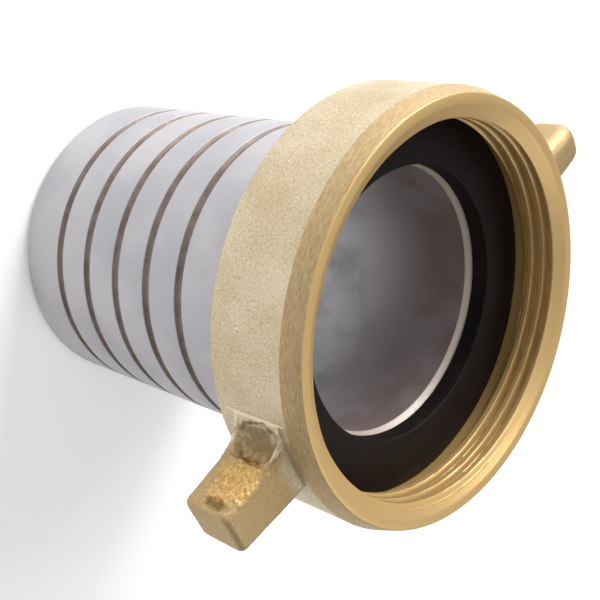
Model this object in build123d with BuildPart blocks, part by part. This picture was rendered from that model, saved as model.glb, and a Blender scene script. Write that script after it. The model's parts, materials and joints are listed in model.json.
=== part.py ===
from build123d import *
from math import ceil, radians, sqrt, tan
import os

os.makedirs("parts", exist_ok=True)

# Swivel hose coupling with a pin lug nut. Millimetres, +Z up.
# It stands on its hose end, and the threaded mouth of the nut opens upward.
# The origin is the centre of the hose end face, and the two lugs lie along X.

# Female straight pipe thread of the nut
threads_per_inch = 11.5
thread_major_diameter = 59.8
thread_length = 7.2
thread_flank_angle = 30
thread_start_angle = 100

# Swivel nut, one brass casting
nut_wall = 3.6
nut_height = 17.4
nut_back_chamfer = 1.1
nut_chamfer_width = 1.0
nut_chamfer_height = 3.0
mouth_land_width = 1.4
mouth_lead_in_angle = 30
lip_thickness = 2.5
relief_step = 0.3

# Pin lugs, cast with the nut, with a hollow web on one side of the root
lug_count = 2
lug_height = 12.5
lug_end_length = 8.6
lug_end_width = 7.7
lug_draft_angle = 1.8
lug_corner_radius = 2.2
lug_end_round = 1.3
root_cover = 0.8
web_length = 8.7
web_reach = 7.9
web_height = 4.3
web_radius = 5.6
web_edge = 0.25

# Hose shank, turned from aluminium
shank_length = 62.8
shank_wall = 4.65
shank_end_chamfer = 0.8
shank_mouth_width = 0.9
shank_mouth_depth = 1.2
flange_height = 2.4
flange_thickness = 2.3
groove_count = 5
groove_width = 1.8
groove_depth = 0.9
groove_spacing = 7.9
first_groove_height = 10.8
track_step = 0.35
track_margin = 0.5

# Rubber washer
washer_thickness = 3.2

# Fits
flange_entry_clearance = 0.3
swivel_clearance = 0.15
swivel_float = 0.3
washer_side_clearance = 0.2
washer_seat_gap = 0.1

# Thread form: a sixty degree vee with flats of an eighth of the pitch
thread_pitch = 25.4 / threads_per_inch
thread_flat = thread_pitch / 8
flank_slope = tan(radians(thread_flank_angle))
thread_depth = (thread_pitch - 2 * thread_flat) / (2 * flank_slope)
groove_overcut = thread_flat / 2

# Radii, from the thread inward to the bore and outward to the nut's wall
thread_major_radius = thread_major_diameter / 2
thread_minor_radius = thread_major_radius - thread_depth
relief_radius = thread_major_radius + relief_step
nut_radius = thread_major_radius + nut_wall
mouth_radius = nut_radius - nut_chamfer_width
lead_in_radius = mouth_radius - mouth_land_width
flange_radius = thread_minor_radius - flange_entry_clearance
shank_radius = flange_radius - flange_height
bore_radius = shank_radius - shank_wall
shank_mouth_radius = bore_radius + shank_mouth_width
track_radius = shank_radius - track_step
lip_radius = shank_radius + swivel_clearance

# Heights, from the hose end up to the nut's mouth
flange_bottom = shank_length - flange_thickness
lip_top = flange_bottom - swivel_float
nut_back = lip_top - lip_thickness
nut_front = nut_back + nut_height
nut_middle = nut_back + nut_height / 2
thread_bottom = nut_front - thread_length
lead_in_depth = (lead_in_radius - thread_minor_radius) * tan(radians(mouth_lead_in_angle))
washer_bottom = shank_length + washer_seat_gap

# Shank: a tube with vee grooves that bite the hose, a flange at the nut end, and
# below the flange a track turned a little smaller for the nut to swivel on
with BuildPart() as shank:
    with BuildSketch(Plane.XZ):
        with BuildLine():
            Polyline(
                (bore_radius, 0),
                (shank_radius - shank_end_chamfer, 0),
                (shank_radius, shank_end_chamfer),
                (shank_radius, nut_back - track_margin),
                (track_radius, nut_back - track_margin),
                (track_radius, flange_bottom),
                (flange_radius, flange_bottom),
                (flange_radius, shank_length),
                (shank_mouth_radius, shank_length),
                (bore_radius, shank_length - shank_mouth_depth),
                close=True,
            )
        make_face()
        with Locations((shank_radius, first_groove_height)):
            with GridLocations(0, groove_spacing, 1, groove_count, align=(Align.CENTER, Align.MIN)):
                Polygon(
                    (0, -groove_width / 2),
                    (0, groove_width / 2),
                    (-groove_depth, 0),
                    align=None,
                    mode=Mode.SUBTRACT,
                )
    revolve(axis=Axis.Z)
shank.part.label = "shank"
export_step(shank.part, "parts/shank.step")

# Thread groove: one turn of the vee along a helix, its mouth just inside the bore
groove_half_root = thread_flat / 2
groove_half_mouth = groove_half_root + (thread_depth + groove_overcut) * flank_slope
groove_start = thread_bottom - thread_pitch
thread_turns = ceil(thread_length / thread_pitch) + 2
with BuildPart() as thread_turn:
    with BuildLine() as thread_helix:
        Helix(
            pitch=thread_pitch,
            height=thread_pitch,
            radius=thread_minor_radius,
            center=(0, 0, groove_start),
        )
    with BuildSketch(Plane.XZ):
        with BuildLine():
            Polyline(
                (thread_minor_radius - groove_overcut, groove_start - groove_half_mouth),
                (thread_major_radius, groove_start - groove_half_root),
                (thread_major_radius, groove_start + groove_half_root),
                (thread_minor_radius - groove_overcut, groove_start + groove_half_mouth),
                close=True,
            )
        make_face()
    sweep(path=thread_helix.line, is_frenet=True)

# Lug: a drafted block on the X axis, its root spreading round the nut's wall on one
# side in a hollow web that ends in a low edge on the wall
lug_foot = relief_radius + root_cover
lug_end = nut_radius + lug_height
lug_foot_growth = 2 * (lug_end - lug_foot) * tan(radians(lug_draft_angle))
lug_foot_width = lug_end_width + lug_foot_growth
lug_foot_length = lug_end_length + lug_foot_growth
web_foot = sqrt(nut_radius**2 - web_reach**2) + web_edge
web_top = nut_radius + web_height
web_inner = lug_end_width / 2
with BuildPart() as lug:
    with BuildSketch(Plane.XY.offset(nut_middle)):
        with BuildLine():
            Polyline(
                (lug_foot, -lug_foot_width / 2),
                (lug_end, -lug_end_width / 2),
                (lug_end, lug_end_width / 2),
                (lug_foot, lug_foot_width / 2),
                close=True,
            )
        make_face()
    extrude(amount=lug_foot_length, both=True)
    with BuildSketch(Plane.XZ):
        with BuildLine():
            Polyline(
                (lug_foot, nut_middle - lug_foot_length / 2),
                (lug_end, nut_middle - lug_end_length / 2),
                (lug_end, nut_middle + lug_end_length / 2),
                (lug_foot, nut_middle + lug_foot_length / 2),
                close=True,
            )
        make_face()
    extrude(amount=lug_foot_width, both=True, mode=Mode.INTERSECT)
    fillet(lug.edges().sort_by(SortBy.LENGTH)[-4:], lug_corner_radius)
    fillet(lug.faces().sort_by(Axis.X)[-1].edges(), lug_end_round)
    with BuildSketch(Plane.XY.offset(nut_middle)):
        with BuildLine():
            Polyline(
                (web_top, -web_inner),
                (web_top, 0),
                (lug_foot, 0),
                (lug_foot, -web_reach),
                (web_foot, -web_reach),
            )
            RadiusArc((web_foot, -web_reach), (web_top, -web_inner), web_radius)
        make_face()
    extrude(amount=web_length / 2, both=True)

# Swivel nut: lip behind the flange, relief for flange and washer, thread and lead-in
with BuildPart() as swivel_nut:
    with BuildSketch(Plane.XZ):
        with BuildLine():
            Polyline(
                (lip_radius, nut_back),
                (nut_radius - nut_back_chamfer, nut_back),
                (nut_radius, nut_back + nut_back_chamfer),
                (nut_radius, nut_front - nut_chamfer_height),
                (mouth_radius, nut_front),
                (lead_in_radius, nut_front),
                (thread_minor_radius, nut_front - lead_in_depth),
                (thread_minor_radius, thread_bottom),
                (relief_radius, thread_bottom),
                (relief_radius, lip_top),
                (lip_radius, lip_top),
                close=True,
            )
        make_face()
    revolve(axis=Axis.Z)
    with Locations(*[(0, 0, turn * thread_pitch) for turn in range(thread_turns)]):
        add(thread_turn.part, rotation=(0, 0, thread_start_angle), mode=Mode.SUBTRACT)
    with PolarLocations(0, lug_count):
        add(lug.part)
swivel_nut.part.label = "swivel_nut"
export_step(swivel_nut.part, "parts/swivel_nut.step")

# Washer: lies in the relief on the shank's flange, kept in by the last thread
with BuildPart() as washer:
    with BuildSketch(Plane.XY.offset(washer_bottom)):
        Circle(relief_radius - washer_side_clearance)
        Circle(shank_mouth_radius, mode=Mode.SUBTRACT)
    extrude(amount=washer_thickness)
washer.part.label = "washer"
export_step(washer.part, "parts/washer.step")
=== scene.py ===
import json
import math

import bmesh
import bpy
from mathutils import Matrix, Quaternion, Vector, noise


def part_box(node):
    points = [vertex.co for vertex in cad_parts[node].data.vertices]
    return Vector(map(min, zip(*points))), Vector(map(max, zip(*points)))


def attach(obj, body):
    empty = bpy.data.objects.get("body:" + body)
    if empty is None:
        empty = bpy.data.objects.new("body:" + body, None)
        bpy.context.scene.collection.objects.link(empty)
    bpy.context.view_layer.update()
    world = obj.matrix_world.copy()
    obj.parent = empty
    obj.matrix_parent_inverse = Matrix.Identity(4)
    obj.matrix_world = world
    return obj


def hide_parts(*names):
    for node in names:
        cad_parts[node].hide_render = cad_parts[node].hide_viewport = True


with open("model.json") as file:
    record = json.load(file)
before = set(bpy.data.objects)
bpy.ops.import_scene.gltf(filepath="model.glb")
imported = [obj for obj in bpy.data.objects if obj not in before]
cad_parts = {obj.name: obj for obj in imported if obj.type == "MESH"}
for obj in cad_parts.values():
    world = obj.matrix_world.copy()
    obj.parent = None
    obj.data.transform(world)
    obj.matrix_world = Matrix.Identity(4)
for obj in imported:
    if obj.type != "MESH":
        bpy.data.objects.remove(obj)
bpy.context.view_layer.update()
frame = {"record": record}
print("frame loaded")

# Everything is modelled in millimetres and brought to metres when it is finished
mm = 0.001
mounts = {mount["name"]: mount["dims"] for mount in frame["record"]["mounts"]}
nutLow, nutHigh = (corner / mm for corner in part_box("swivel_nut"))
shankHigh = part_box("shank")[1] / mm
washerLow, washerHigh = (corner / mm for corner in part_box("washer"))
threadRadius = mounts["nut_thread"]["r_mm"]
shankRadius = mounts["hose_shank"]["r_mm"]
boreRadius = mounts["through_bore"]["r_mm"]
roundSteps = 240


# Mesh helpers

def addProfile(bm, points):
    # A section in the XZ plane as a chain of edges; each point is radius, height, corner rounding
    verts = [bm.verts.new((point[0], 0, point[1])) for point in points]
    for pair in zip(verts, verts[1:] + verts[:1]):
        bm.edges.new(pair)
    roundings = sorted({point[2] for point in points if point[2]})
    groups = [[vert for vert, point in zip(verts, points) if point[2] == size] for size in roundings]
    for size, group in zip(roundings, groups):
        bmesh.ops.bevel(bm, geom=group, offset=size, offset_type="OFFSET", segments=3, profile=0.5,
                        affect="VERTICES", material=-1)


def spinRound(bm):
    # Turns the section once round the bore
    bmesh.ops.spin(bm, geom=bm.verts[:] + bm.edges[:], cent=(0, 0, 0), axis=(0, 0, 1),
                   angle=2 * math.pi, steps=roundSteps, use_merge=True)
    bmesh.ops.remove_doubles(bm, verts=bm.verts[:], dist=0.0005)
    bmesh.ops.recalc_face_normals(bm, faces=bm.faces[:])


def finishPiece(bm, name, body, node, material, sharp=38):
    # Brings the mesh to metres and hands the piece to the frame
    bmesh.ops.scale(bm, vec=(mm, mm, mm), verts=bm.verts[:])
    mesh = bpy.data.meshes.new(name)
    bm.to_mesh(mesh)
    bm.free()
    mesh.polygons.foreach_set("use_smooth", [True] * len(mesh.polygons))
    mesh.set_sharp_from_angle(angle=math.radians(sharp))
    mesh.materials.append(material)
    piece = bpy.data.objects.new(name, mesh)
    bpy.context.scene.collection.objects.link(piece)
    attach(piece, body)
    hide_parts(node)
    return piece


def radiusOf(vert):
    return math.hypot(vert.co.x, vert.co.y)


class Finish:
    # One material. add() makes a node, join() wires a value or a socket to an input.
    def __init__(self, name):
        self.material = bpy.data.materials.new(name)
        self.material.use_nodes = True
        self.tree = self.material.node_tree
        self.shader = self.tree.nodes["Principled BSDF"]
        metres = self.add("ShaderNodeTexCoord").outputs["Object"]
        self.place = self.vector("SCALE", metres, scale=1 / mm)

    def add(self, kind, **settings):
        node = self.tree.nodes.new(kind)
        for key, value in settings.items():
            setattr(node, key, value)
        return node

    def join(self, node, socket, value):
        if isinstance(value, bpy.types.NodeSocket):
            self.tree.links.new(value, node.inputs[socket])
        elif value is not None:
            node.inputs[socket].default_value = value

    def math(self, operation, a, b=None):
        node = self.add("ShaderNodeMath", operation=operation)
        self.join(node, 0, a)
        self.join(node, 1, b)
        return node.outputs[0]

    def vector(self, operation, a, b=None, scale=None):
        node = self.add("ShaderNodeVectorMath", operation=operation)
        self.join(node, 0, a)
        self.join(node, 1, b)
        self.join(node, "Scale", scale)
        return node.outputs["Value" if operation == "LENGTH" else "Vector"]

    def times(self, a, b):
        return self.math("MULTIPLY", a, b)

    def split(self):
        node = self.add("ShaderNodeSeparateXYZ")
        self.join(node, 0, self.place)
        return node.outputs

    def combine(self, x, y, z):
        node = self.add("ShaderNodeCombineXYZ")
        for socket, value in enumerate((x, y, z)):
            self.join(node, socket, value)
        return node.outputs[0]

    def angle(self):
        spot = self.split()
        return self.math("ARCTAN2", spot["Y"], spot["X"])

    def radius(self):
        return self.vector("LENGTH", self.vector("MULTIPLY", self.place, (1, 1, 0)))

    def ramp(self, value, low, high, start=0.0, end=1.0):
        node = self.add("ShaderNodeMapRange", interpolation_type="SMOOTHSTEP")
        for socket, setting in enumerate((value, low, high, start, end)):
            self.join(node, socket, setting)
        return node.outputs[0]

    def noise(self, size, detail, roughness, vector=None):
        # size is the width of one lump in millimetres
        node = self.add("ShaderNodeTexNoise")
        self.join(node, "Vector", vector or self.place)
        self.join(node, "Scale", 1 / size)
        self.join(node, "Detail", detail)
        self.join(node, "Roughness", roughness)
        return node.outputs["Fac"]

    def mix(self, factor, a, b):
        kind = "RGBA" if isinstance(a, tuple) or getattr(a, "type", "") == "RGBA" else "FLOAT"
        node = self.add("ShaderNodeMix", data_type=kind)
        self.join(node, "Factor", factor)
        sockets = [s for s in node.inputs if s.enabled and s.name in ("A", "B")]
        for socket, value in zip(sockets, (a, b)):
            if isinstance(value, bpy.types.NodeSocket):
                self.tree.links.new(value, socket)
            else:
                socket.default_value = (*value, 1) if kind == "RGBA" else value
        return next(s for s in node.outputs if s.enabled)

    def bump(self, height, strength, distance):
        node = self.add("ShaderNodeBump")
        self.join(node, "Height", height)
        self.join(node, "Strength", strength)
        self.join(node, "Distance", distance * mm)
        return node.outputs["Normal"]

    def turned(self, pitch, drift):
        # Fine marks left by the lathe: noise that changes fast with radius and height, slowly with angle
        lane = self.combine(
            self.times(self.radius(), 1 / pitch),
            self.times(self.split()["Z"], 1 / pitch),
            self.times(self.angle(), drift),
        )
        return self.noise(1.0, 2.0, 0.6, lane)

    def finish(self, colour, roughness, normal, metallic):
        self.join(self.shader, "Base Color", colour)
        self.join(self.shader, "Roughness", roughness)
        self.join(self.shader, "Normal", normal)
        self.shader.inputs["Metallic"].default_value = metallic
        return self.material


def srgb(red, green, blue):
    return tuple(((c / 255 + 0.055) / 1.055) ** 2.4 for c in (red, green, blue))


# Brass nut: sand-cast outside, turned chamfer, mouth and thread
brass = {
    "castPale": srgb(209, 195, 167),
    "castTan": srgb(190, 172, 138),
    "castDark": srgb(170, 151, 115),
    "castWarm": srgb(172, 141, 90),
    # painted glints on the grain's high spots
    "castFleck": srgb(228, 219, 196),
    "castMetallic": 0.65,
    "castRoughness": (0.60, 0.42),
    "castBump": (0.5, 0.08),
    "grainSize": 0.28,
    "cloudSize": 9.0,
    "cloudShare": 0.45,
    "lugWarmth": 0.75,
    "chamfer": srgb(198, 173, 130),
    "chamferDark": srgb(172, 145, 102),
    "turned": srgb(205, 171, 113),
    # painted shade in the thread's roots
    "turnedDeep": srgb(204, 166, 104),
    "turnedMetallic": 0.5,
    "turnedRoughness": (0.34, 0.48),
    "turnedBump": (0.6, 0.10),
    "ringMarks": (0.09, 1.2),
    "ringHeight": 0.05,
    "chamferMarks": (0.12, 26.0),
    "chamferMarkHeight": 0.16,
    "chamferDulling": 0.1,
    "rootDarkening": 0.8,
    "sprue": srgb(226, 188, 122),
    "sprueDark": srgb(176, 138, 80),
    "sprueRoughness": 0.46,
    # painted shade for the pit and the hollow in the web
    "grime": srgb(112, 88, 44),
    # painted highlight on the flash line and the web's edges
    "flash": srgb(222, 210, 182),
}

nut = {
    "pitch": 25.4 / 11.5,
    "threadLength": 7.2,
    "threadStartAngle": 100,
    "flankAngle": 30,
    "crestStep": 0.4,
    "threadRows": 84,
    "leadInAngle": 30,
    "chamferWidth": 1.0,
    "chamferHeight": 3.0,
    "landWidth": 1.4,
    "backChamfer": 1.1,
    "lipThickness": 2.5,
    "lipGap": 0.15,
    "reliefStep": 0.3,
    "wallRows": 26,
    "wallSag": 0.06,
    "sagSizes": (3.1, 1.1),
}
nutRadius = nutHigh.y
nutFront = nutHigh.z
nutBack = nutLow.z
nutMiddle = (nutBack + nutFront) / 2
flankSlope = math.tan(math.radians(nut["flankAngle"]))
threadDepth = nut["pitch"] * 3 / 4 / (2 * flankSlope)  # a vee with flats of an eighth of the pitch
majorRadius = threadRadius + threadDepth
mouthRadius = nutRadius - nut["chamferWidth"]
landRadius = mouthRadius - nut["landWidth"]
chamferFoot = nutFront - nut["chamferHeight"]

# What the foundry left on the near lug: the broken stub of the sprue, a pit and a hollow in the web
# with painted shade, and a flash line up the wall; the line and the web's edges get a painted highlight
scar = {
    "middle": (40.4, -4.1, nutMiddle + 1.3),
    "reach": (5.0, 2.4, 3.7),
    "pitMiddle": (44.4, -3.7, nutMiddle + 1.0),
    "pitReach": (0.8, 1.2, 2.0),
    "pitDepth": 0.45,
    # strength of the painted shade in the pit
    "pitDarkening": 0.85,
    "rough": 0.22,
    "raggedSize": 1.3,
    "raggedness": 1.6,
    "crumbSize": 0.38,
    "crumbHeight": 1.6,
    "rimHeight": 4.2,
    # the hollow in the web, and the painted shade laid over it
    "grimeMiddle": (34.7, -5.3, nutMiddle + 0.5),
    "grimeReach": (2.9, 2.4, 4.6),
    "grimeSoftness": 0.5,
    "grimeDarkening": 0.85,
    "hollowReach": (2.6, 2.4, 3.6),
    "hollowDepth": 0.6,
    "flashAngle": -13.5,
    "flashWidth": 0.36,
    "flashRise": 0.28,
    "flashBottom": nutBack + 2.8,
    "flashTop": chamferFoot - 0.1,
}


def castFinish(name, scarred=False):
    # Sandy grain over broad clouds, warmer on the lugs, with painted glints on the grain's high spots
    finish = Finish(name)
    grain = finish.noise(brass["grainSize"], 4.0, 0.6)
    cloud = finish.noise(brass["cloudSize"], 3.0, 0.5)
    tone = finish.mix(brass["cloudShare"], grain, cloud)
    colour = finish.mix(finish.ramp(tone, 0.38, 0.62), brass["castTan"], brass["castPale"])
    colour = finish.mix(finish.ramp(grain, 0.30, 0.40, 1.0, 0.0), colour, brass["castDark"])
    # Pale flecks on the grain's high spots are painted glints
    colour = finish.mix(finish.ramp(grain, 0.62, 0.72), colour, brass["castFleck"])
    roughness = finish.ramp(grain, 0.3, 0.7, *brass["castRoughness"])
    onLug = finish.ramp(finish.radius(), nutRadius + 0.4, nutRadius + 3)
    colour = finish.mix(finish.times(onLug, brass["lugWarmth"]), colour, brass["castWarm"])
    height = grain
    if scarred:
        colour, roughness, height = scarFinish(finish, colour, roughness, grain)
    normal = finish.bump(height, *brass["castBump"])
    return finish.finish(colour, roughness, normal, brass["castMetallic"])


def turnedFinish():
    # Fine lathe rings, with coarser streaks on the outer chamfer and painted shade in the thread's roots
    finish = Finish("turned_brass")
    radius = finish.radius()
    z = finish.split()["Z"]
    onChamfer = finish.times(
        finish.ramp(z, chamferFoot - 0.2, chamferFoot - 0.1),
        finish.ramp(radius, mouthRadius - 0.08, mouthRadius + 0.06),
    )
    # Painted shade in the thread's roots
    rootShade = finish.times(
        finish.ramp(radius, majorRadius - 0.55, majorRadius - 0.1),
        finish.ramp(z, nutFront - 1.9, nutFront - 1.3, 1.0, 0.0),
    )
    colour = finish.mix(finish.times(rootShade, brass["rootDarkening"]), brass["turned"], brass["turnedDeep"])
    streaks = finish.turned(*brass["chamferMarks"])
    banded = finish.mix(finish.ramp(streaks, 0.35, 0.65), brass["chamferDark"], brass["chamfer"])
    colour = finish.mix(onChamfer, colour, banded)
    rings = finish.turned(*brass["ringMarks"])
    roughness = finish.ramp(rings, 0.3, 0.7, *brass["turnedRoughness"])
    roughness = finish.math("ADD", roughness, finish.times(onChamfer, brass["chamferDulling"]))
    height = finish.mix(
        onChamfer,
        finish.times(rings, brass["ringHeight"]),
        finish.times(streaks, brass["chamferMarkHeight"]),
    )
    normal = finish.bump(height, *brass["turnedBump"])
    return finish.finish(colour, roughness, normal, brass["turnedMetallic"])


def blob(finish, middle, reach, wobble, soft=0.25):
    # One inside an egg-shaped patch and nought outside it, with a ragged edge
    away = finish.vector("DIVIDE", finish.vector("SUBTRACT", finish.place, middle), reach)
    edge = finish.times(wobble, scar["raggedness"])
    distance = finish.math("ADD", finish.vector("LENGTH", away), edge)
    return finish.ramp(distance, 1.7 - soft, 1.7 + soft, 1.0, 0.0)


def scarFinish(finish, cast, roughness, grain):
    ragged = finish.noise(scar["raggedSize"], 3.0, 0.6)
    crumbs = finish.noise(scar["crumbSize"], 4.0, 0.65)
    stub = blob(finish, scar["middle"], scar["reach"], ragged)
    broken = finish.mix(finish.ramp(crumbs, 0.32, 0.68), brass["sprueDark"], brass["sprue"])
    colour = finish.mix(stub, cast, broken)
    pit = blob(finish, scar["pitMiddle"], scar["pitReach"], ragged)
    # Painted shade in the pit and in the hollow of the web
    grime = blob(finish, scar["grimeMiddle"], scar["grimeReach"], ragged, scar["grimeSoftness"])
    dark = finish.math(
        "MAXIMUM",
        finish.times(pit, scar["pitDarkening"]),
        finish.times(grime, scar["grimeDarkening"]),
    )
    colour = finish.mix(dark, colour, brass["grime"])
    # Painted highlight on the flash line and along the web's two edges
    pale = finish.math("MAXIMUM", flashHighlight(finish, ragged), rimHighlight(finish, ragged))
    colour = finish.mix(pale, colour, brass["flash"])
    roughness = finish.mix(stub, roughness, brass["sprueRoughness"])
    height = finish.mix(stub, grain, finish.times(crumbs, scar["crumbHeight"]))
    return colour, roughness, height


def flashHighlight(finish, ragged):
    # The flash line stands proud of the wall at one angle; its pale colour is a painted highlight
    side = finish.math("SUBTRACT", finish.angle(), math.radians(scar["flashAngle"]))
    away = finish.math("ADD", finish.math("ABSOLUTE", side), finish.times(ragged, 0.014))
    return finish.times(
        finish.ramp(away, 0.016, 0.024, 1.0, 0.0),
        finish.ramp(finish.radius(), nutRadius - 0.05, nutRadius + 0.1),
    )


def rimHighlight(finish, ragged):
    # Painted highlight along the web's two edges, above and below the hollow
    spot = finish.split()
    height = finish.math("ABSOLUTE", finish.math("SUBTRACT", spot["Z"], nutMiddle))
    away = finish.math("ABSOLUTE", finish.math("SUBTRACT", height, scar["rimHeight"]))
    rim = finish.times(finish.ramp(away, 0.2, 0.6, 1.0, 0.0), finish.ramp(spot["Y"], -4.4, -4.1, 1.0, 0.0))
    return finish.times(rim, finish.ramp(ragged, 0.3, 0.6, 0.3, 0.9))


# Aluminium shank: matte blasted tube, with painted shade in the grooves and painted light and shade in the
# bore
aluminium = {
    "pale": srgb(190, 187, 190),
    "cool": srgb(176, 175, 180),
    # painted shade in the hose grooves
    "groove": srgb(134, 120, 112),
    "grooveDark": srgb(112, 98, 90),
    # painted light and shade in the bore: near white deep inside, darker at the mouth, with a painted cloudy
    # reflection
    "bore": srgb(248, 248, 250),
    "boreMouth": srgb(124, 110, 107),
    "boreCloud": srgb(150, 148, 150),
    "rim": srgb(184, 174, 164),
    "metallic": 0.35,
    "roughness": (0.45, 0.60),
    "bump": (0.25, 0.05),
    "cloudSize": 14,
    "fineSize": 0.3,
    "sootSize": 3,
    "smearSize": 11,
    "smear": 0.5,
    "ringMarks": (0.2, 1.0),
    "ringShare": 0.3,
    "boreFade": (34, 6),
}

shank = {
    "endChamfer": 0.8,
    "mouthWidth": 0.9,
    "mouthDepth": 1.2,
    "flangeThickness": 2.3,
    "flangeGap": 0.3,
    "trackStep": 0.35,
    "trackMargin": 0.5,
    "grooveCount": 5,
    "grooveWidth": 1.8,
    "grooveDepth": 0.6,
    "grooveFlat": 0.55,
    "grooveSpacing": 7.9,
    "firstGroove": 10.8,
}


def aluminiumFinish():
    finish = Finish("matte_aluminium")
    radius = finish.radius()
    z = finish.split()["Z"]
    cloud = finish.noise(aluminium["cloudSize"], 3.0, 0.5)
    body = finish.mix(finish.ramp(cloud, 0.35, 0.65), aluminium["cool"], aluminium["pale"])

    # Painted shade in the hose grooves, which are all below the nut
    inGroove = finish.times(
        finish.ramp(radius, shankRadius - 0.14, shankRadius - 0.05, 1.0, 0.0),
        finish.ramp(z, nutBack - 1, nutBack - 0.2, 1.0, 0.0),
    )
    grooveShadeCloud = finish.ramp(finish.noise(aluminium["sootSize"], 3.0, 0.6), 0.35, 0.65)
    grooveShading = finish.mix(grooveShadeCloud, aluminium["grooveDark"], aluminium["groove"])
    colour = finish.mix(inGroove, body, grooveShading)

    # Painted light and shade in the bore: near white deep inside, darker towards the mouth, with a painted
    # cloudy reflection all over
    inBore = finish.ramp(radius, boreRadius + 0.10, boreRadius + 0.25, 1.0, 0.0)
    fadeLow, fadeHigh = (shankHigh.z - depth for depth in aluminium["boreFade"])
    boreShading = finish.mix(finish.ramp(z, fadeLow, fadeHigh), aluminium["bore"], aluminium["boreMouth"])
    smear = finish.ramp(finish.noise(aluminium["smearSize"], 4.0, 0.55), 0.42, 0.66)
    boreShading = finish.mix(finish.times(smear, aluminium["smear"]), boreShading, aluminium["boreCloud"])
    colour = finish.mix(inBore, colour, boreShading)
    inRim = finish.ramp(z, shankHigh.z - 1.3, shankHigh.z - 1.1)
    colour = finish.mix(inRim, colour, aluminium["rim"])

    fine = finish.noise(aluminium["fineSize"], 3.0, 0.6)
    rings = finish.turned(*aluminium["ringMarks"])
    roughness = finish.ramp(fine, 0.3, 0.7, *aluminium["roughness"])
    normal = finish.bump(finish.mix(aluminium["ringShare"], fine, rings), *aluminium["bump"])
    return finish.finish(colour, roughness, normal, aluminium["metallic"])


rubber = {
    "dark": srgb(17, 14, 13),
    "light": srgb(26, 18, 15),
    "roughness": (0.5, 0.68),
    "specular": 0.14,
    "bump": (0.25, 0.05),
    "cloudSize": 7.5,
    "fineSize": 0.45,
}

washer = {
    "overhang": 0.58,
    "sag": 0.08,
    "sagSize": 9,
}


def rubberFinish():
    finish = Finish("black_rubber")
    cloud = finish.noise(rubber["cloudSize"], 3.0, 0.55)
    fine = finish.noise(rubber["fineSize"], 3.0, 0.6)
    colour = finish.mix(finish.ramp(cloud, 0.35, 0.7), rubber["dark"], rubber["light"])
    roughness = finish.ramp(cloud, 0.3, 0.7, *rubber["roughness"])
    normal = finish.bump(fine, *rubber["bump"])
    finish.shader.inputs["Specular IOR Level"].default_value = rubber["specular"]
    return finish.finish(colour, roughness, normal, 0.0)


# Nut ring: the section is spun whole, then the thread is pressed into its inner wall

def threadAt(angle, height):
    # Radius of the thread wall: a vee groove that climbs one pitch a turn, its corners softened
    turnsUp = (height - nutFront + nut["threadLength"]) / nut["pitch"]
    turnsRound = (angle - math.radians(nut["threadStartAngle"])) / (2 * math.pi)
    away = abs((turnsUp - turnsRound + 0.5) % 1 - 0.5) * nut["pitch"]
    crest = threadRadius + nut["crestStep"]
    climb = (away - nut["pitch"] / 16) / flankSlope / (majorRadius - crest)
    climb = min(1.0, max(0.0, climb))
    soft = climb * climb * (3 - 2 * climb)
    return majorRadius + (crest - majorRadius) * soft


def leadIn(height):
    # Radius of the cone that leads into the thread from the mouth
    return landRadius - (nutFront - height) / math.tan(math.radians(nut["leadInAngle"]))


def makeNutRing(cast, turned):
    threadBottom = nutFront - nut["threadLength"]
    lipRadius = shankRadius + nut["lipGap"]
    lipTop = nutBack + nut["lipThickness"]
    reliefRadius = majorRadius + nut["reliefStep"]
    bm = bmesh.new()
    addProfile(bm, (
        (lipRadius, nutBack, 0.4),
        (nutRadius - nut["backChamfer"], nutBack, 0.5),
        (nutRadius, nutBack + nut["backChamfer"], 0.5),
        (nutRadius, chamferFoot, 0.12),
        (mouthRadius, nutFront, 0.2),
        (landRadius + 0.25, nutFront, 0),
        (threadRadius, nutFront - 0.1, 0),
        (threadRadius, threadBottom, 0),
        (reliefRadius, threadBottom, 0.1),
        (reliefRadius, lipTop, 0.2),
        (lipRadius, lipTop, 0.2),
    ))
    for radius, cuts in ((threadRadius, nut["threadRows"]), (nutRadius, nut["wallRows"])):
        upright = [edge for edge in bm.edges if edge.calc_length() > 2
                   and all(abs(vert.co.x - radius) < 1e-4 for vert in edge.verts)]
        bmesh.ops.subdivide_edges(bm, edges=upright, cuts=cuts)
    spinRound(bm)
    for vert in bm.verts:
        if abs(radiusOf(vert) - threadRadius) < 1e-3:
            radius = max(threadAt(math.atan2(vert.co.y, vert.co.x), vert.co.z), leadIn(vert.co.z))
            vert.co.x *= radius / threadRadius
            vert.co.y *= radius / threadRadius

    # The cast wall is never quite true
    broad, narrow = nut["sagSizes"]
    bm.normal_update()
    for vert in bm.verts:
        if radiusOf(vert) > mouthRadius and vert.co.z < chamferFoot - 0.3:
            sag = 0.5 + 0.5 * noise.noise(vert.co / broad) + 0.35 * noise.noise(vert.co / narrow)
            vert.co -= vert.normal * nut["wallSag"] * max(0.0, sag)
    ring = finishPiece(bm, "nut_ring", "nut", "swivel_nut", cast)

    # The wall and back are left as cast, and the rest is machined
    ring.data.materials.append(turned)
    for face in ring.data.polygons:
        spot = face.center / mm
        radius = math.hypot(spot.x, spot.y)
        wall = radius > majorRadius + 1 and spot.z < chamferFoot - 0.05
        back = radius > lipRadius + 0.6 and spot.z < nutBack + 0.3
        face.material_index = 0 if wall or back else 1


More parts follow.
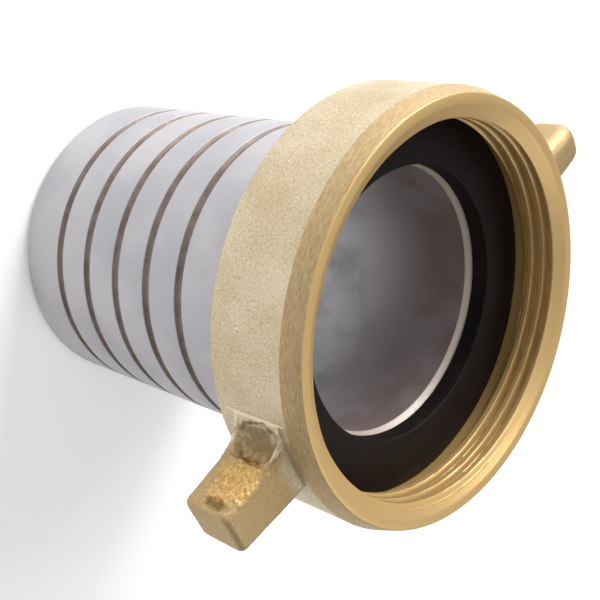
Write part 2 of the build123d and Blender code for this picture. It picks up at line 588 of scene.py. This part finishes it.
def makeShank(material):
    top = shankHigh.z
    trackRadius = shankRadius - shank["trackStep"]
    flangeRadius = threadRadius - shank["flangeGap"]
    trackBottom = nutBack - shank["trackMargin"]
    half = shank["grooveWidth"] / 2
    section = [
        (boreRadius, 0, 0.25),
        (shankRadius - shank["endChamfer"], 0, 0.2),
        (shankRadius, shank["endChamfer"], 0.2),
    ]
    for count in range(shank["grooveCount"]):
        middle = shank["firstGroove"] + count * shank["grooveSpacing"]
        section += [
            (shankRadius, middle - half, 0.08),
            (shankRadius - shank["grooveDepth"], middle - half * shank["grooveFlat"], 0.15),
            (shankRadius - shank["grooveDepth"], middle + half * shank["grooveFlat"], 0.15),
            (shankRadius, middle + half, 0.08),
        ]
    section += [
        (shankRadius, trackBottom, 0.1),
        (trackRadius, trackBottom, 0),
        (trackRadius, top - shank["flangeThickness"], 0),
        (flangeRadius, top - shank["flangeThickness"], 0.2),
        (flangeRadius, top, 0.2),
        (boreRadius + shank["mouthWidth"], top, 0.12),
        (boreRadius, top - shank["mouthDepth"], 0.1),
    ]
    bm = bmesh.new()
    addProfile(bm, section)
    spinRound(bm)
    finishPiece(bm, "hose_shank", "shank", "shank", material)


def makeWasher(material):
    inner = boreRadius + shank["mouthWidth"] - washer["overhang"]
    bm = bmesh.new()
    addProfile(bm, (
        (inner, washerLow.z, 0.1),
        (washerHigh.y, washerLow.z, 0.1),
        (washerHigh.y, washerHigh.z, 0.35),
        (inner, washerHigh.z, 0.35),
    ))
    spinRound(bm)
    for vert in bm.verts:
        if vert.co.z > washerLow.z + 1:
            vert.co.z -= washer["sag"] * (1 + noise.noise(vert.co / washer["sagSize"]))
    finishPiece(bm, "seal_washer", "nut", "washer", material)


castBrass = castFinish("cast_brass")
makeNutRing(castBrass, turnedFinish())
print("nut ring done")
makeShank(aluminiumFinish())
makeWasher(rubberFinish())
print("shank and washer done")


# Lugs: a drafted block with a hollow web, remeshed so that its edges melt like a casting's
lug = {
    "endLength": 8.6,
    "endWidth": 7.7,
    "draft": 1.8,
    "near": {"turn": 0, "cornerRound": 1.4, "endRound": 1.0, "melt": 3, "scarred": True},
    "far": {"turn": 180, "cornerRound": 2.9, "endRound": 2.4, "melt": 6, "scarred": False},
    "foot": 31.2,
    "webLength": 8.7,
    "webReach": 7.9,
    "webHeight": 4.3,
    "webRadius": 5.6,
    "webEdge": 0.25,
    "voxel": 0.18,
    "lump": (0.05, 2.6),
    "ripple": (0.03, 0.9),
    "sharp": 60,
}


def lugBlock(bm, shape):
    end = nutHigh.x
    grow = 2 * (end - lug["foot"]) * math.tan(math.radians(lug["draft"]))
    made = bmesh.ops.create_cube(bm, size=1)["verts"]
    for vert in made:
        outer = vert.co.x > 0
        width = lug["endWidth"] + (0 if outer else grow)
        length = lug["endLength"] + (0 if outer else grow)
        vert.co = (end if outer else lug["foot"], vert.co.y * width, nutMiddle + vert.co.z * length)
    edges = {edge for vert in made for edge in vert.link_edges}
    long = [edge for edge in edges if edge.calc_length() > 12]
    bmesh.ops.bevel(bm, geom=long, offset=shape["cornerRound"], offset_type="OFFSET", segments=5, profile=0.5,
                    affect="EDGES", material=-1)
    tip = [edge for edge in bm.edges if all(vert.co.x > end - 1e-4 for vert in edge.verts)]
    bmesh.ops.bevel(bm, geom=tip, offset=shape["endRound"], offset_type="OFFSET", segments=4, profile=0.5,
                    affect="EDGES", material=-1)


def lugWeb(bm):
    # The web's plan on the lug's -Y side, hollowed by an arc, pushed up along the nut's axis
    foot = math.sqrt(nutRadius ** 2 - lug["webReach"] ** 2) + lug["webEdge"]
    low = Vector((foot, -lug["webReach"], 0))
    high = Vector((nutRadius + lug["webHeight"], -lug["endWidth"] / 2, 0))
    chord = high - low
    away = Vector((chord.y, -chord.x, 0)).normalized()
    centre = (low + high) / 2 + away * math.sqrt(lug["webRadius"] ** 2 - (chord.length / 2) ** 2)
    sweep = 2 * math.asin(chord.length / 2 / lug["webRadius"])
    before = set(bm.verts)
    first = bm.verts.new(low)
    bmesh.ops.spin(bm, geom=[first], cent=centre, axis=(0, 0, 1), angle=-sweep, steps=10, use_merge=False)
    chain = sorted(set(bm.verts) - before, key=lambda vert: vert.co.x)
    corners = [bm.verts.new(spot) for spot in (
        (chain[-1].co.x, 0, 0),
        (lug["foot"], 0, 0),
        (lug["foot"], -lug["webReach"], 0),
    )]
    face = bm.faces.new(chain + corners)
    up = bmesh.ops.extrude_face_region(bm, geom=[face])["geom"]
    top = [item for item in up if isinstance(item, bmesh.types.BMVert)]
    bmesh.ops.translate(bm, vec=(0, 0, lug["webLength"]), verts=top)
    bmesh.ops.translate(bm, vec=(0, 0, nutMiddle - lug["webLength"] / 2), verts=chain + corners + top)


def remeshed(bm, name, voxel):
    # One skin over all the overlapping blocks, as a new bmesh
    bmesh.ops.recalc_face_normals(bm, faces=bm.faces[:])
    mesh = bpy.data.meshes.new(name)
    bm.to_mesh(mesh)
    bm.free()
    holder = bpy.data.objects.new(name, mesh)
    bpy.context.scene.collection.objects.link(holder)
    remesh = holder.modifiers.new("melt", "REMESH")
    remesh.mode = "VOXEL"
    remesh.voxel_size = voxel
    graph = bpy.context.evaluated_depsgraph_get()
    skin = bpy.data.meshes.new_from_object(holder.evaluated_get(graph))
    made = bmesh.new()
    made.from_mesh(skin)
    bpy.data.objects.remove(holder)
    bpy.data.meshes.remove(skin)
    bpy.data.meshes.remove(mesh)
    return made


def flashLine(bm):
    # The thin fin that the mould's joint left up the wall, beside the web
    angle = math.radians(scar["flashAngle"])
    made = bmesh.ops.create_cube(bm, size=1)["verts"]
    depth = 0.5 + scar["flashRise"]
    length = scar["flashTop"] - scar["flashBottom"]
    bmesh.ops.scale(bm, vec=(depth, scar["flashWidth"], length), verts=made)
    shift = (nutRadius + scar["flashRise"] - depth / 2, 0, (scar["flashTop"] + scar["flashBottom"]) / 2)
    bmesh.ops.translate(bm, vec=shift, verts=made)
    bmesh.ops.rotate(bm, cent=(0, 0, 0), matrix=Quaternion((0, 0, 1), angle).to_matrix(), verts=made)


def inBlob(spot, middle, reach):
    # The mesh's share of blob(): one inside the patch, nought outside it
    away = spot - Vector(middle)
    distance = Vector((away.x / reach[0], away.y / reach[1], away.z / reach[2])).length
    return min(1.0, max(0.0, (1.15 - distance + 0.3 * noise.noise(spot / 1.3)) / 0.3))


def pressScar(vert):
    # How far the broken stub roughens this point, and the pit and the hollow sink it
    stub = inBlob(vert.co, scar["middle"], scar["reach"])
    pit = inBlob(vert.co, scar["pitMiddle"], scar["pitReach"])
    hollow = inBlob(vert.co, scar["grimeMiddle"], scar["hollowReach"])
    crumbs = noise.noise(vert.co / 0.75) + 0.6 * noise.noise(vert.co / 0.35)
    return stub * scar["rough"] * crumbs - pit * scar["pitDepth"] - hollow * scar["hollowDepth"]


def makeLug(name, shape, material):
    bm = bmesh.new()
    lugBlock(bm, shape)
    lugWeb(bm)
    if shape["scarred"]:
        flashLine(bm)
    bm = remeshed(bm, name, lug["voxel"])
    for _ in range(shape["melt"]):
        bmesh.ops.smooth_vert(bm, verts=bm.verts[:], factor=0.5, use_axis_x=True, use_axis_y=True,
                              use_axis_z=True)
    bm.normal_update()
    lump, lumpSize = lug["lump"]
    ripple, rippleSize = lug["ripple"]
    for vert in bm.verts:
        rise = lump * (noise.noise(vert.co / lumpSize) - 1) + ripple * noise.noise(vert.co / rippleSize)
        if shape["scarred"]:
            rise += pressScar(vert)
        vert.co += vert.normal * rise
    turn = Quaternion((0, 0, 1), math.radians(shape["turn"])).to_matrix()
    bmesh.ops.rotate(bm, cent=(0, 0, 0), matrix=turn, verts=bm.verts[:])
    finishPiece(bm, name, "nut", "swivel_nut", material, lug["sharp"])


makeLug("lug_near", lug["near"], castFinish("cast_brass_with_scar", scarred=True))
makeLug("lug_far", lug["far"], castBrass)
print("lugs done")


# Floor
floorSettings = {
    "size": 3.0,
    "pale": srgb(250, 250, 250),
    "shade": srgb(245, 245, 245),
    "cloudSize": 200,
    "glow": 0.2,
}


def makeFloor():
    bpy.ops.mesh.primitive_plane_add(size=floorSettings["size"])
    floor = bpy.context.object
    floor.name = "floor"
    finish = Finish("pale_floor")
    cloud = finish.noise(floorSettings["cloudSize"], 2.0, 0.5)
    colour = finish.mix(cloud, floorSettings["pale"], floorSettings["shade"])
    finish.shader.inputs["Specular IOR Level"].default_value = 0.0
    finish.shader.inputs["Emission Color"].default_value = (1, 1, 1, 1)
    finish.shader.inputs["Emission Strength"].default_value = floorSettings["glow"]
    floor.data.materials.append(finish.finish(colour, 0.9, None, 0.0))


makeFloor()

# Camera: it stands close above the nut's mouth and is rolled on its side
cameraSettings = {
    "azimuth": 39.56,
    "elevation": 42.15,
    "roll": 104.95,
    "distance": 0.17257,
    "target": (0.002676, 0.002211, 0.044412),
    "lens": 62.07,
}


def directionOf(azimuth, elevation):
    # Azimuth 0 is the -Y side, and it grows towards +X
    azimuth, elevation = math.radians(azimuth), math.radians(elevation)
    return Vector((
        math.sin(azimuth) * math.cos(elevation),
        -math.cos(azimuth) * math.cos(elevation),
        math.sin(elevation),
    ))


def makeCamera():
    back = directionOf(cameraSettings["azimuth"], cameraSettings["elevation"])
    camera = bpy.data.objects.new("camera", bpy.data.cameras.new("camera"))
    camera.data.lens = cameraSettings["lens"]
    camera.data.sensor_width = 36
    camera.data.clip_start = 0.005
    camera.location = Vector(cameraSettings["target"]) + back * cameraSettings["distance"]
    camera.rotation_mode = "QUATERNION"
    roll = Quaternion((0, 0, 1), math.radians(cameraSettings["roll"]))
    camera.rotation_quaternion = (-back).to_track_quat("-Z", "Y") @ roll
    bpy.context.scene.collection.objects.link(camera)
    bpy.context.scene.camera = camera


makeCamera()

# Soft studio light: a pale room and large lamps
lampCentre = Vector((0, 0, 0.04))
lamps = {
    "key": {"azimuth": -52, "elevation": 26, "distance": 0.9, "size": 0.4, "power": 8.5},
    "back": {"azimuth": 214, "elevation": 24, "distance": 1.0, "size": 0.5, "power": 0.15},
    "side": {"azimuth": 282, "elevation": 60, "distance": 1.0, "size": 0.3, "power": 2.0},
    "far": {"azimuth": 181, "elevation": 44, "distance": 1.0, "size": 0.5, "power": 1.4},
    "front": {"azimuth": 38, "elevation": 46, "distance": 1.0, "size": 1.0, "power": 2.4},
}
roomSettings = {"colour": (1.0, 1.0, 1.0), "strength": 0.34}


def makeLights():
    for name, lamp in lamps.items():
        away = directionOf(lamp["azimuth"], lamp["elevation"])
        light = bpy.data.lights.new(name, "AREA")
        light.size = lamp["size"]
        light.energy = lamp["power"]
        holder = bpy.data.objects.new(name, light)
        holder.location = lampCentre + away * lamp["distance"]
        holder.rotation_mode = "QUATERNION"
        holder.rotation_quaternion = (-away).to_track_quat("-Z", "Y")
        bpy.context.scene.collection.objects.link(holder)
    world = bpy.data.worlds.new("room")
    world.use_nodes = True
    background = world.node_tree.nodes["Background"]
    background.inputs["Color"].default_value = (*roomSettings["colour"], 1)
    background.inputs["Strength"].default_value = roomSettings["strength"]
    bpy.context.scene.world = world


makeLights()
bpy.context.scene.view_settings.view_transform = "Standard"
print("floor, camera and lights ready")
